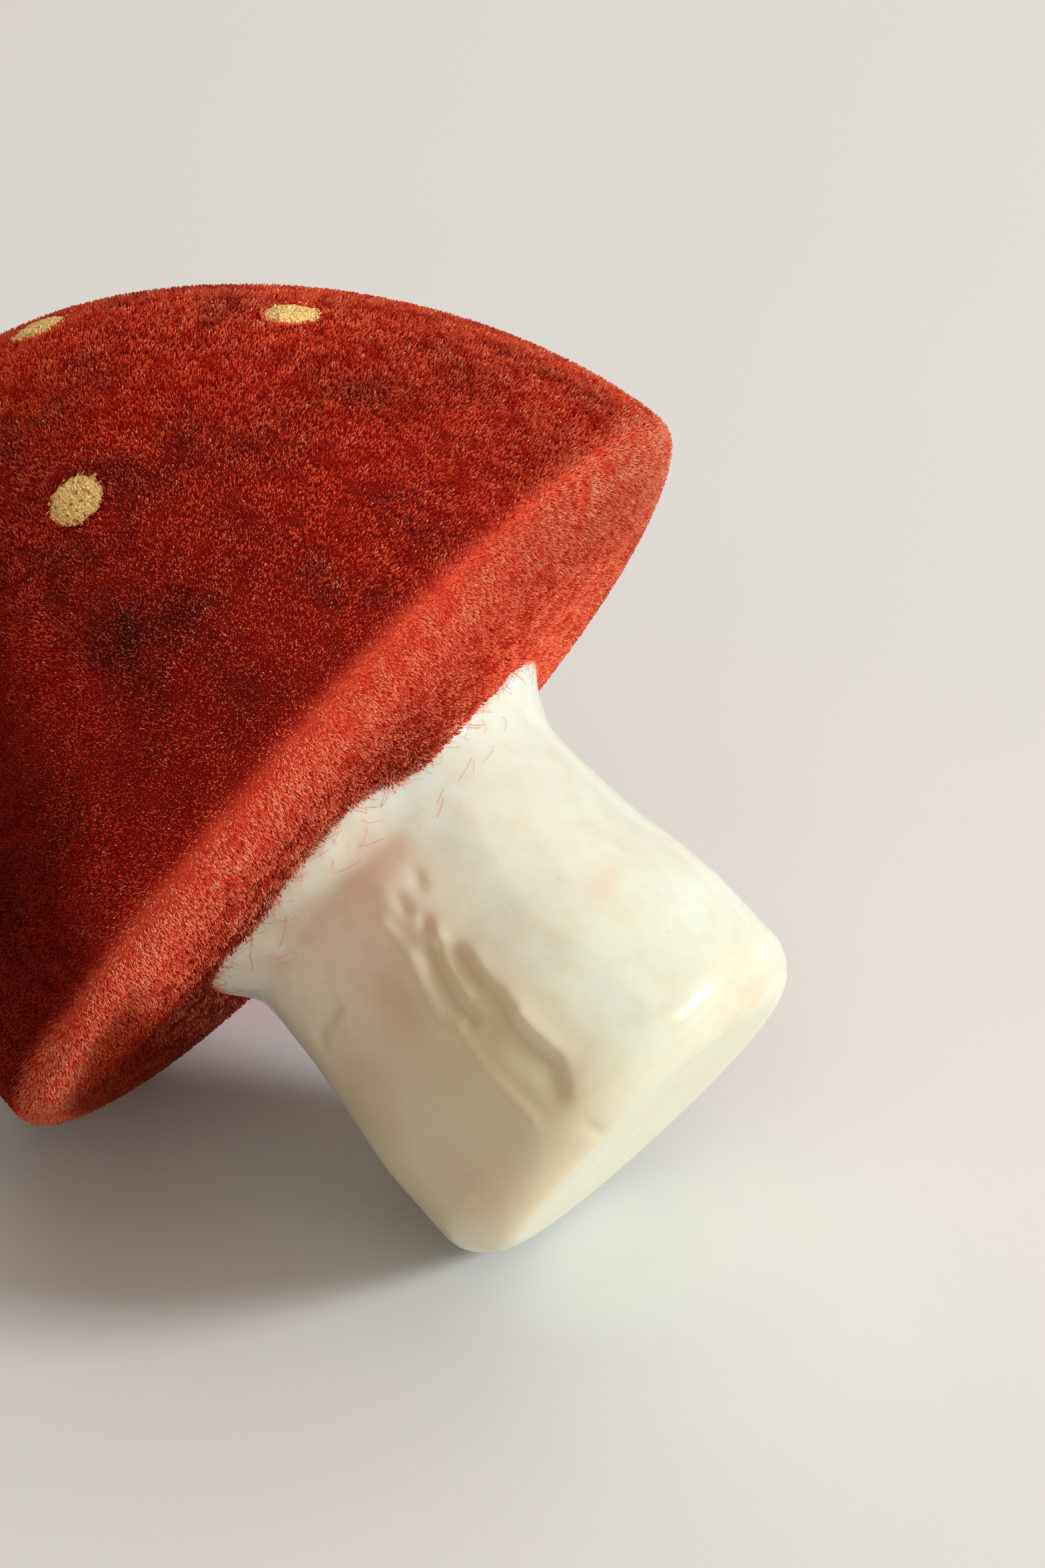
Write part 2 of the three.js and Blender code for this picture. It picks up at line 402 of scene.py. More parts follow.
class StageSettings(bpy.types.PropertyGroup):
    """Camera, light and floor"""

    camera: bpy.props.FloatVectorProperty(
        name="Camera", description="Place of the camera", default=(0.2720, -0.3030, 0.3124),
        subtype="XYZ", unit="LENGTH",
    )
    turn: angle("Turn", "Azimuth of the view", 39.07)
    tilt: angle("Tilt", "Elevation of the view", 33.72)
    lens: number("Lens", "Focal length in millimetres", 104.5)
    key_turn: angle("Key turn", "Azimuth of the soft box", 121)
    key_tilt: angle("Key tilt", "Elevation of the soft box", 24)
    key_distance: length("Key distance", "Distance of the soft box", 1800)
    key_size: length("Key size", "Side of the soft box", 400)
    key_power: number("Key power", "Power of the soft box in watts", 26.8)
    key_colour: colour("Key colour", "Colour of the soft box", 0.95, 0.98, 0.99)
    top_turn: angle("Top turn", "Azimuth of the overhead soft box", 215)
    top_tilt: angle("Top tilt", "Elevation of the overhead soft box", 68)
    top_height: length("Top distance", "Distance of the overhead soft box", 1400)
    top_size: length("Top size", "Side of the overhead soft box", 1500)
    top_power: number("Top power", "Power of the overhead soft box in watts", 7.8)
    front_turn: angle("Front turn", "Azimuth of the front soft box", 42)
    front_tilt: angle("Front tilt", "Elevation of the front soft box", 50)
    front_size: length("Front size", "Side of the front soft box", 1200)
    front_power: number("Front power", "Power of the front soft box in watts", 3.0)
    fill: number("Fill", "Strength of the light from all round", 0.28)
    fill_slant: number("Fill slant", "How much brighter the lamps' side is than the middle", 0.45)
    fill_colour: colour("Fill colour", "Colour of the light from all round", 1.0, 0.86, 0.72)
    floor: colour("Floor", "Colour of the floor", 0.77, 0.80, 0.81)
    fade_from: length("Fade from", "Distance at which the floor starts to fade to the backdrop", 450)
    fade_to: length("Fade to", "Distance at which the floor has faded to the backdrop", 1500)
    backdrop: colour("Backdrop", "Colour beyond the floor", 0.72, 0.70, 0.67)


# Places in the frame

def view_axes(turn, tilt):
    """Right, up and back of a view, as the rows of the frame name them."""
    back = Vector((math.sin(turn) * math.cos(tilt), -math.cos(turn) * math.cos(tilt), math.sin(tilt)))
    right = Vector((math.cos(turn), math.sin(turn), 0))
    return right, back.cross(right), back


def from_axes(x, y, z, place):
    """A matrix from three axes and a place."""
    matrix = Matrix((x, y, z)).transposed().to_4x4()
    matrix.translation = place
    return matrix


def stem_place():
    """The stem's own frame: its foot's middle, with Z towards the cap and X on the side that faces up."""
    foot = next(m for m in frame["record"]["mounts"] if m["name"] == "foot")
    z = -Vector(foot["axis"]).normalized()
    y = Vector((0, 1, 0))
    return from_axes(y.cross(z), y, z, Vector(foot["pos_m"]))


def cap_place(cap):
    """The cap's own frame: the middle of the rim's plane, with Z towards the crown."""
    stem = stem_place()
    pivot = stem @ Vector((0, 0, cap.askew_height))
    turned = Matrix.Translation(pivot) @ Matrix.Rotation(cap.askew, 4, "Z") @ Matrix.Translation(-pivot)
    return turned @ stem @ Matrix.Translation((0, 0, cap.rim_height))


def axis_of(place):
    """The way that a frame's Z points."""
    return place.to_3x3() @ UP


# Outlines

def bezier(points, steps):
    """Points along a Bezier curve, without the first."""
    path = []
    for step in range(1, steps + 1):
        t = step / steps
        row = [Vector(p) for p in points]
        while len(row) > 1:
            row = [a.lerp(b, t) for a, b in zip(row, row[1:])]
        path.append(row[0])
    return path


def arc(centre, radius, start, end, steps):
    """Points along an arc from start to end in degrees, without the first."""
    path = []
    for step in range(1, steps + 1):
        turn = math.radians(start + (end - start) * step / steps)
        path.append(Vector(centre) + radius * Vector((math.cos(turn), math.sin(turn))))
    return path


def roll(centre, width, height, steps):
    """Points along a quarter of an ellipse from its lowest point outwards, without the first."""
    path = []
    for step in range(1, steps + 1):
        turn = math.pi / 2 * step / steps
        path.append(Vector(centre) + Vector((width * math.sin(turn), -height * math.cos(turn))))
    return path


def straight(start, end, steps):
    """Points along a straight line, without the first."""
    return [Vector(start).lerp(Vector(end), step / steps) for step in range(1, steps + 1)]


def stem_outline(stem):
    """(radius, height) points from the middle of the foot to the top of the spigot."""
    flat = stem.foot_radius - stem.foot_roll
    rise = stem.neck_height - stem.belly_height
    collar = stem.neck_radius + stem.flare
    brim = stem.neck_height + stem.flare
    seat = brim + stem.lip
    top = seat + stem.spigot_length
    belly = (stem.belly_radius, stem.belly_height)
    neck = (stem.neck_radius, stem.neck_height)
    outline = [Vector((0, 0))]
    outline += straight((0, 0), (flat, 0), FOOT_STEPS)
    outline += roll((flat, stem.foot_round), stem.foot_roll, stem.foot_round, ROLL_STEPS)
    middle = (stem.belly_radius, (stem.foot_round + stem.belly_height) / 2)
    outline += bezier(((stem.foot_radius, stem.foot_round), middle, belly), BELLY_STEPS)
    above = (stem.belly_radius, stem.belly_height + rise / 4)
    below = (stem.neck_radius, stem.neck_height - rise / 2)
    outline += bezier((belly, above, below, neck), WALL_STEPS)
    outline += arc((collar, stem.neck_height), stem.flare, 180, 90, FLARE_STEPS)
    outline += straight((collar, brim), (collar, seat), 1)
    outline += straight((collar, seat), (stem.spigot_radius, seat), SEAT_STEPS)
    outline += straight((stem.spigot_radius, seat), (stem.spigot_radius, top), SEAT_STEPS)
    outline += straight((stem.spigot_radius, top), (0, top), 1)
    return outline


def dome_radius(cap, height):
    """Radius of the dome at a height over the rim's plane."""
    return cap.radius * (1 - (height / cap.dome_height) ** cap.dome_power) ** (1 / cap.dome_power)


def dome_outward(cap, height):
    """(radial, axial) direction out of the dome at a height."""
    reach = dome_radius(cap, height) / cap.radius
    rise = height / cap.dome_height
    steepness = cap.dome_power - 1
    return Vector((reach**steepness / cap.radius, rise**steepness / cap.dome_height)).normalized()


def skin_outline(cap):
    """(radius, height) points of the velvet's backing from the buried hole round the rim to the crown."""
    inset = cap.skin_inset
    radius = cap.radius - inset
    height = cap.dome_height - inset
    depth = cap.underside_depth - inset
    first = math.asin(cap.hole_radius / radius)
    outline = []
    for step in range(UNDERSIDE_STEPS + 1):
        out = math.sin(first + (math.pi / 2 - first) * step / UNDERSIDE_STEPS)
        swell = (1 - out**cap.underside_flat) ** cap.underside_roll
        outline.append(Vector((radius * out, -depth * swell)))
    power = 2 / cap.dome_power
    for step in range(1, DOME_STEPS + 1):
        turn = step / DOME_STEPS * math.pi / 2
        reach = max(math.cos(turn), 0) ** power
        outline.append(Vector((radius * reach, height * math.sin(turn) ** power)))
    outline[-1].x = 0
    return outline


# Shaping

def settle(bm):
    """Rebuilds a mesh with its faces in a fixed order, which the mesh operators leave to chance."""
    bm.verts.index_update()
    places = [vert.co.copy() for vert in bm.verts]
    rows = []
    for face in bm.faces:
        row = [vert.index for vert in face.verts]
        first = row.index(min(row))
        rows.append(row[first:] + row[:first])
    bm.clear()
    verts = [bm.verts.new(place) for place in places]
    for row in sorted(rows):
        bm.faces.new([verts[i] for i in row])
    bm.normal_update()


def close_up(bm):
    """Joins points that meet, turns the faces outwards and puts them in a fixed order."""
    bmesh.ops.remove_doubles(bm, verts=bm.verts, dist=WELD)
    bmesh.ops.recalc_face_normals(bm, faces=bm.faces)
    settle(bm)


def lathe(bm, outline, steps):
    """Spins an outline of (radius, height) points round Z."""
    chain = [bm.verts.new((point.x, 0, point.y)) for point in outline]
    edges = [bm.edges.new(pair) for pair in zip(chain, chain[1:])]
    bmesh.ops.spin(
        bm, geom=chain + edges, axis=(0, 0, 1), cent=(0, 0, 0), dvec=(0, 0, 0),
        angle=2 * math.pi, steps=steps, use_merge=True, use_duplicate=False,
    )
    close_up(bm)


def ease(low, high, value):
    """Goes smoothly from 0 at low to 1 at high."""
    t = min(max((value - low) / (high - low), 0), 1)
    return t * t * (3 - 2 * t)


def round_wave(points, degrees):
    """A smooth wave round a circle through (degrees, value) points."""
    for i, (here, value) in enumerate(points):
        there, next_value = points[(i + 1) % len(points)]
        span = (there - here) % 360
        along = (degrees - here) % 360
        if along <= span:
            return value + (next_value - value) * ease(0, 1, along / span)
    return 0


def nearest_on(path, point):
    """Distance from a point to a chain of points in the plane, and its side of it.

    For a chain that runs down, the side is -1 on the left and 1 on the right, seen from outside.
    """
    best = (math.inf, 0)
    for a, b in zip(path, path[1:]):
        run = b - a
        t = min(max((point - a).dot(run) / run.length_squared, 0), 1)
        off = point - a - t * run
        side = (run.x * off.y - run.y * off.x) / max(run.length * off.length, TINY)
        best = min(best, (off.length, side))
    return best


def press_stem(bm, stem):
    """Presses the folds, the waves of the collar and the hand-finished lumps into the stem.

    The hollows are kept as an attribute, as the glaze pools in them.
    """
    pooled = bm.verts.layers.float.new("pooled")
    folds = []
    for height, left, right, path in STEM_FOLDS:
        flat = [Vector((math.radians(turn) * stem.belly_radius / MM, up)) for turn, up in path]
        folds.append((height, left, right, flat))
    top = (stem.neck_height + stem.flare) / MM + BRIM_MARGIN
    for vert in bm.verts:
        up = vert.co.z / MM
        out = Vector((vert.co.x, vert.co.y, 0))
        if up > top or out.length < stem.spigot_radius * SPIGOT_MARGIN:
            continue
        turn = math.atan2(out.y, out.x)
        place = Vector((turn * stem.belly_radius / MM, up))
        push = 0
        for height, left, right, path in folds:
            away, side = nearest_on(path, place)
            width = left + (right - left) * (side + 1) / 2
            if away < FOLD_REACH * width:
                press = height * math.exp(-((away / width) ** 2))
                push += press
                vert[pooled] += max(-press, 0)
        grip = ease(*COLLAR_IN, up) * (1 - ease(*COLLAR_OUT, up))
        push += grip * round_wave(COLLAR_GROWTH, math.degrees(turn))
        lumpy = sum(share * noise.noise(vert.co / size, noise_basis="PERLIN_NEW") for size, share in LUMPS)
        push += stem.lumps / MM * lumpy * (1 - ease(*LUMPS_OUT, up)) * ease(*LUMPS_IN, up)
        vert.co += out.normalized() * push * MM


def wave_hem(bm, stem_from_cap):
    """Lets the velvet's hem rise and hang in waves along the collar."""
    axis = axis_of(stem_from_cap.inverted())
    for vert in bm.verts:
        place = stem_from_cap @ vert.co
        if vert.co.z > 0:
            continue
        reach = math.hypot(place.x, place.y) / MM
        turn = math.degrees(math.atan2(place.y, place.x))
        vert.co += axis * round_wave(HEM_LIFT, turn) * (1 - ease(*HEM_WAVES_OUT, reach)) * MM


def mesh_object(bm, name, matrix=IDENTITY, smooth=True):
    """A named object at the origin with the mesh put in its place."""
    bm.transform(matrix)
    mesh = bpy.data.meshes.new(name)
    for face in bm.faces:
        face.smooth = smooth
    bm.to_mesh(mesh)
    bm.free()
    thing = bpy.data.objects.new(name, mesh)
    bpy.context.scene.collection.objects.link(thing)
    return thing


def dress(thing, material):
    """Gives a piece its material and its body."""
    thing.data.materials.clear()
    thing.data.materials.append(material)
    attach(thing, BODY)


# Nodes

def add(tree, kind, settings=None, **values):
    """Adds a node. A value that is a socket is linked, and any other is set."""
    node = tree.nodes.new(kind)
    for key, value in (settings or {}).items():
        setattr(node, key, value)
    for key, value in values.items():
        put(tree, node.inputs[key.replace("_", " ")], value)
    return node


def put(tree, target, value):
    """Links a socket to an input, or sets the input to a value."""
    if isinstance(value, bpy.types.NodeSocket):
        tree.links.new(value, target)
    elif target.type == "RGBA" and len(value) == 3:
        target.default_value = (*value, 1)
    else:
        target.default_value = value


def calc(tree, operation, *values):
    """A Math node's output."""
    node = tree.nodes.new("ShaderNodeMath")
    node.operation = operation
    for target, value in zip(node.inputs, values):
        put(tree, target, value)
    return node.outputs[0]


def vector_calc(tree, operation, *values):
    """A Vector Math node's output, a number where the operation gives one."""
    node = tree.nodes.new("ShaderNodeVectorMath")
    node.operation = operation
    for target, value in zip(node.inputs, values):
        put(tree, target, value)
    return node.outputs["Value" if operation in {"DISTANCE", "DOT_PRODUCT"} else "Vector"]


def blend(tree, factor, first, second, kind="MIX"):
    """A Mix node's colour. Its colour inputs come seventh and eighth."""
    node = tree.nodes.new("ShaderNodeMix")
    node.data_type = "RGBA"
    node.blend_type = kind
    put(tree, node.inputs[0], factor)
    put(tree, node.inputs[6], first)
    put(tree, node.inputs[7], second)
    return node.outputs[2]


def between(tree, value, low, high, to_low=0.0, to_high=1.0):
    """A value mapped smoothly from one range to another."""
    return add(
        tree, "ShaderNodeMapRange", {"interpolation_type": "SMOOTHSTEP"},
        Value=value, From_Min=low, From_Max=high, To_Min=to_low, To_Max=to_high,
    ).outputs[0]


def sockets(group, side, kind, *names):
    """Gives a node group inputs or outputs."""
    for name in names:
        group.interface.new_socket(name=name, in_out=side, socket_type=f"NodeSocket{kind}")


def attribute(tree, name):
    """A number kept on the mesh."""
    return add(tree, "ShaderNodeAttribute", {"attribute_name": name}).outputs["Fac"]


def times(tree, first, second):
    """The product of two numbers."""
    return calc(tree, "MULTIPLY", first, second)


def clouds(tree, place, scale, detail, roughness=0.5):
    """The outputs of a noise about 1/scale metres across."""
    return add(
        tree, "ShaderNodeTexNoise", Vector=place, Scale=scale, Detail=detail, Roughness=roughness
    ).outputs


def height_over(tree, place, base):
    """How far a place is along a frame's Z."""
    away = vector_calc(tree, "SUBTRACT", place, base.translation)
    return vector_calc(tree, "DOT_PRODUCT", away, axis_of(base))


def new_material(name):
    """A material with an empty tree, and its Object coordinates."""
    material = bpy.data.materials.new(name)
    material.use_nodes = True
    tree = material.node_tree
    tree.nodes.clear()
    place = tree.nodes.new("ShaderNodeTexCoord").outputs["Object"]
    return material, tree, place


def finish(material, **values):
    """Gives a material its shader, with what is linked to it or set on it."""
    shader = add(material.node_tree, "ShaderNodeBsdfPrincipled", **values)
    add(material.node_tree, "ShaderNodeOutputMaterial", Surface=shader.outputs[0])
    return material


def patch_group():
    """Soft patches: a mask that drifts between 0 and 1 over the surface."""
    name = "Soft patches"
    if name in bpy.data.node_groups:
        return bpy.data.node_groups[name]
    group = bpy.data.node_groups.new(name, "ShaderNodeTree")
    sockets(group, "INPUT", "Vector", "Place")
    sockets(group, "INPUT", "Float", "Scale", "Detail", "Low", "High")
    sockets(group, "OUTPUT", "Float", "Mask")
    start = group.nodes.new("NodeGroupInput").outputs
    cloud = clouds(group, start["Place"], start["Scale"], start["Detail"])[0]
    add(group, "NodeGroupOutput", Mask=between(group, cloud, start["Low"], start["High"]))
    return group


def patches(tree, place, scale, detail, low, high):
    """A mask of soft patches about 1/scale metres across."""
    return add(
        tree, "ShaderNodeGroup", {"node_tree": patch_group()},
        Place=place, Scale=scale, Detail=detail, Low=low, High=high,
    ).outputs["Mask"]


def shifted(tree, place, x, y, z):
    """Coordinates moved aside, so that two patterns don't repeat each other."""
    return add(tree, "ShaderNodeMapping", Vector=place, Location=(x, y, z)).outputs[0]


def bump(tree, height, distance, strength=1.0):
    """A Bump node's normal."""
    return add(tree, "ShaderNodeBump", Height=height, Distance=distance, Strength=strength).outputs[0]


# Finishes

def glaze_material(stem):
    """Cream glaze with tan and pinkish patches under a clear gloss. Painted shade: tan on the side turned
    from the lamp; painted light: the chalk colour on that side's upper part.
    """
    material, tree, place = new_material("cream glaze")
    base = stem_place()
    height = height_over(tree, place, base)
    side = base.to_3x3() @ Vector((math.cos(stem.shaded_side), math.sin(stem.shaded_side), 0))
    aside = vector_calc(tree, "DOT_PRODUCT", place, side)
    aside = calc(tree, "SUBTRACT", aside, base.translation.dot(side))

    rosy = patches(tree, shifted(tree, place, 3, 1, 2), scale=95, detail=4, low=0.58, high=0.78)
    rosy = times(tree, rosy, ROSY_SHARE)
    cloudy = patches(tree, shifted(tree, place, 1, 4, 2), scale=160, detail=4, low=0.3, high=0.6)
    for turn, up, radius in BLUSH_SPOTS:
        out = Matrix.Rotation(math.radians(turn), 3, "Z") @ Vector((stem.neck_radius, 0, up * MM))
        away = vector_calc(tree, "DISTANCE", place, base @ out)
        spot = between(tree, away, 0, radius * MM, BLUSH_SHARE, 0)
        rosy = calc(tree, "MAXIMUM", rosy, times(tree, spot, cloudy))

    # Painted shade: tan on the side turned from the lamp, below the collar. Painted light: the chalk
    # colour higher up on that side
    shaded_side = between(tree, aside, stem.neck_radius / 2, stem.neck_radius, 0, SHADED_SIDE_SHARE)
    below = times(tree, shaded_side, between(tree, height, *SHADED_SIDE_EDGE, 1, 0))
    thin = patches(tree, place, scale=70, detail=4, low=0.36, high=0.72)
    thin = calc(tree, "MAXIMUM", times(tree, thin, THIN_SHARE), below)
    lit_upper = times(tree, shaded_side, between(tree, height, *LIT_UPPER_EDGE))
    pooled = between(tree, attribute(tree, "pooled"), 0, POOL_PRESS, 0, POOL_SHARE)
    mottled = patches(tree, shifted(tree, place, 2, 5, 3), scale=380, detail=4, low=0.42, high=0.7)
    low = between(tree, height, *FOOT_EDGE, FOOT_SHARE, 0)
    specks = patches(tree, shifted(tree, place, 5, 7, 1), scale=900, detail=2, low=0.66, high=0.78)
    body = stem.cream
    for share, tint in (
        (thin, stem.tan),
        (lit_upper, stem.chalk),
        (pooled, stem.pool),
        (times(tree, mottled, MOTTLED_SHARE), stem.pool),
        (low, stem.tan),
        (rosy, stem.blush),
        (times(tree, specks, SPECK_SHARE), stem.blush),
    ):
        body = blend(tree, share, body, tint)

    # The foot's bare edge is dull, and thin glaze and the side painted with shade a little less glossy
    bare = between(tree, height, *BARE_EDGE, 1, 0)
    gloss = between(tree, thin, 0, 0.5, to_low=0.2, to_high=0.3)
    waves = clouds(tree, place, scale=260, detail=2)[0]
    return finish(
        material,
        Base_Color=body,
        Roughness=calc(tree, "MAXIMUM", gloss, times(tree, bare, BARE_ROUGHNESS)),
        Coat_Weight=between(tree, bare, 0, 1, to_low=0.35, to_high=0),
        Coat_Roughness=0.06,
        Normal=bump(tree, waves, distance=0.12 * MM, strength=0.5),
        Subsurface_Weight=0.6,
        Subsurface_Radius=(1.0, 0.6, 0.35),
        Subsurface_Scale=4.5 * MM,
    )


def wear_and_light_group(cap):
    """Masks of the velvet: crushed patches, and painted light and shade: painted light along the rim and
    on the side towards the lamp, painted shade at the far and low parts, and a painted shadow along the
    hem on the near side.
    """
    name = "Velvet wear"
    if name in bpy.data.node_groups:
        return bpy.data.node_groups[name]
    group = bpy.data.node_groups.new(name, "ShaderNodeTree")
    sockets(group, "INPUT", "Vector", "Place")
    sockets(group, "OUTPUT", "Float", *WEAR_AND_LIGHT)
    place = group.nodes.new("NodeGroupInput").outputs["Place"]
    crown = cap_place(cap)
    rise = height_over(group, place, crown)
    across = vector_calc(group, "DOT_PRODUCT", place, Vector(LAMPLIT_WAY))

    cloud = clouds(group, place, scale=60, detail=5, roughness=0.7)[0]
    crushed = between(group, cloud, 0.36, 0.57, to_low=0.58, to_high=0)
    ragged = between(group, cloud, 0.35, 0.6, to_low=0.88, to_high=0.12)
    for turn, up, radius in CRUSHED_SPOTS:
        out = Matrix.Rotation(math.radians(turn), 3, "Z") @ Vector((dome_radius(cap, up * MM), 0, up * MM))
        away = vector_calc(group, "DISTANCE", place, crown @ out)
        spot = between(group, away, 0, SPOT_SPREAD * radius * MM, 1, 0)
        crushed = calc(group, "MAXIMUM", crushed, times(group, spot, ragged))
    crushed = times(group, crushed, between(group, rise, *DOME_EDGE, to_low=0.15))

    # Painted light: a band along the rim is painted brighter, its upper edge wandering
    wavy = calc(group, "MULTIPLY_ADD", cloud, LIT_RIM_WAVES, calc(group, "SUBTRACT", rise, LIT_RIM_WAVES / 2))
    upper = between(group, wavy, *LIT_RIM_TOP, 1, 0)
    rim = times(group, upper, between(group, rise, *LIT_RIM_FOOT, to_low=0.3))

    # Painted shadow: the hem's side where the stem shades the underside
    near = between(group, across, *NEAR_START, to_low=1, to_high=0.65)
    near = times(group, near, between(group, across, *NEAR_END, to_low=1, to_high=0.1))

    # The low part's painted shade draws in towards the crown, and spares the rim's painted light
    downhill = calc(group, "MULTIPLY_ADD", calc(group, "MAXIMUM", rise, 0.0), LOW_SLOPE, across)
    spared = times(group, upper, between(group, rise, *SPARED_EDGE))
    low = between(group, downhill, *LOW_EDGE, 1, 0)
    low = times(group, low, between(group, spared, 0, 1, to_low=1, to_high=0.2))
    # Painted light on the side towards the lamp, and painted shade at the far end
    add(
        group, "NodeGroupOutput", Crushed=crushed, Rim=rim, Near=near, Low=low,
        Faded=between(group, across, *LAMPLIT_EDGE), Far=between(group, across, *FAR_EDGE),
    )
    return group


def wear_and_light(tree, place, cap):
    """The masks of the velvet's crushed patches and of its painted light and shade, in the order of their
    names.
    """
    node = add(tree, "ShaderNodeGroup", {"node_tree": wear_and_light_group(cap)}, Place=place)
    return [node.outputs[key] for key in WEAR_AND_LIGHT]


def backing_material(pile, cap):
    """Dark cloth under the pile, painted lighter along the rim as painted light, and darker in crushed
    patches and with painted shade along the hem.
    """
    material, tree, place = new_material("velvet backing")
    crushed, rim, _, _, near, _ = wear_and_light(tree, place, cap)
    hem = times(tree, attribute(tree, "hem"), near)
    # Painted light along the rim, and painted shade along the hem together with the crushed patches
    cloth = blend(tree, rim, pile.backing, pile.rich)
    cloth = blend(tree, calc(tree, "MAXIMUM", crushed, hem), cloth, pile.soot)
    weave = clouds(tree, place, scale=4000, detail=2)[0]
    return finish(material, Base_Color=cloth, Roughness=0.9, Normal=bump(tree, weave, distance=0.2 * MM))


def pile_material(pile, cap):
    """Red fibres, each with its own shade: painted shade at the root, duller where crushed, curled with
    painted shade along the hem, painted light along the rim and on the side towards the lamp, and painted
    glints on a few.
    """
    material, tree, place = new_material("velvet pile")
    shade = attribute(tree, "shade")
    along = attribute(tree, "along")
    crushed, rim, lamplit, far, near, low = wear_and_light(tree, place, cap)
    hem = times(tree, attribute(tree, "hem"), near)

    # Painted light: brighter, more orange tips along the rim and on the side towards the lamp
    brightest = blend(tree, rim, blend(tree, lamplit, pile.rich, pile.warm), pile.bright)
    dimmest = blend(tree, times(tree, rim, LIT_RIM_SHARE), pile.deep, pile.rich)
    crushed_tip = blend(tree, shade, pile.soot, pile.dull)
    curled_shaded_tip = blend(tree, between(tree, shade, *CURLED_SHADE_SPAN), pile.root, pile.bright)
    tip = blend(tree, between(tree, shade, *TIP_SPAN), dimmest, brightest)
    # Painted glints and sparks on a few fibres, crushed patches, and curled tips with painted shade along
    # the hem
    for share, tint in (
        (between(tree, shade, *GLINT_SPAN, 0, GLINT_SHARE), pile.glint),
        (times(tree, crushed, CRUSHED_SHARE), crushed_tip),
        (between(tree, shade, *SPARK_SPAN, 0, SPARK_SHARE), pile.glint),
        (times(tree, hem, CURLED_SHADE_SHARE), curled_shaded_tip),
    ):
        tip = blend(tree, share, tip, tint)

    # Painted light along the rim; painted shade at the root and along the hem
    stalk = blend(tree, rim, pile.middle, pile.warm)
    stalk = blend(tree, between(tree, along, *STALK_SPAN), pile.root, stalk)
    dark = times(tree, calc(tree, "MAXIMUM", crushed, hem), CRUSHED_SHARE)
    stalk = blend(tree, dark, stalk, pile.soot)
    fibre = blend(tree, between(tree, along, *TOP_SPAN), stalk, tip)
    # Painted shade at the far and low ends
    fibre = blend(tree, far, fibre, pile.shy, "MULTIPLY")
    fibre = blend(tree, low, fibre, pile.shaded, "MULTIPLY")
    return finish(
        material, Base_Color=fibre, Roughness=0.4, Specular_IOR_Level=0.12, Specular_Tint=pile.glint
    )


def stray_material(pile):
    """Loose fibres, each redder or paler by its place."""
    material, tree, place = new_material("stray fibres")
    paler = patches(tree, place, scale=300, detail=2, low=0.35, high=0.65)
    return finish(material, Base_Color=blend(tree, paler, pile.middle, pile.bright), Roughness=0.6)


def gold_material(dots):
    """Granular gold paint, worn thin between its grains."""
    material, tree, place = new_material("gold paint")
    grains = add(tree, "ShaderNodeTexVoronoi", Vector=place, Scale=3600.0).outputs["Distance"]
    worn = patches(tree, place, scale=1900, detail=3, low=0.55, high=0.7)
    return finish(
        material,
        Base_Color=blend(tree, worn, dots.gold, dots.worn),
        Metallic=0.4,
        Roughness=between(tree, worn, 0, 1, to_low=0.32, to_high=0.6),
        Normal=bump(tree, grains, distance=0.15 * MM, strength=0.8),
    )


def casting_material():
    """Bare casting of the hidden core."""
    material, tree, place = new_material("bare casting")
    dusty = patches(tree, place, scale=160, detail=4, low=0.3, high=0.7)
    return finish(material, Base_Color=blend(tree, dusty, CASTING, DUSTY_CASTING), Roughness=0.85)


# Pile

def fibre_object(pile):
    """One fibre to repeat: a sliver that widens to its tip, laid out in its share of the colour map."""
    bm = bmesh.new()
    middle = pile.fibre_length / 2
    bmesh.ops.create_cone(
        bm, cap_ends=True, segments=3, radius1=0, radius2=pile.fibre_radius, depth=pile.fibre_length,
        matrix=Matrix.Translation((0, 0, middle)),
    )
    close_up(bm)
    chart = bm.loops.layers.uv.new("OFBake")
    tips = iter(CHART_TIPS)
    corners = {vert: CHART_ROOT if vert.co.z < middle else next(tips) for vert in bm.verts}
    for face in bm.faces:
        for loop in face.loops:
            loop[chart].uv = corners[loop.vert]
    return mesh_object(bm, "fibre")


def point_object(name, places):
    """Bare points for the nodes to measure from."""
    bm = bmesh.new()
    for place in places:
        bm.verts.new(place)
    return mesh_object(bm, name)


def store(group, geometry, name, value, kind="FLOAT", domain="POINT"):
    """Keeps a value on a geometry under a name."""
    return add(
        group, "GeometryNodeStoreNamedAttribute", {"data_type": kind, "domain": domain},
        Geometry=geometry, Name=name, Value=value,
    ).outputs[0]


def stored(group, name):
    """A vector that was kept under a name."""
    node = add(group, "GeometryNodeInputNamedAttribute", {"data_type": "FLOAT_VECTOR"}, Name=name)
    return node.outputs[0]


def shape_of(group, thing):
    """An object's geometry."""
    return add(group, "GeometryNodeObjectInfo", Object=thing).outputs["Geometry"]


def distance_to(group, thing, target):
    """Distance to the nearest of an object's points or faces."""
    near = add(group, "GeometryNodeProximity", {"target_element": target}, Geometry=shape_of(group, thing))
    return near.outputs["Distance"]


def random_number(group, low=0.0, high=1.0, seed=0):
    """A random number for each point. The node's inputs for a number come third and fourth."""
    node = group.nodes.new("FunctionNodeRandomValue")
    node.data_type = "FLOAT"
    node.inputs[2].default_value = low
    node.inputs[3].default_value = high
    node.inputs["Seed"].default_value = seed
    return node.outputs[1]


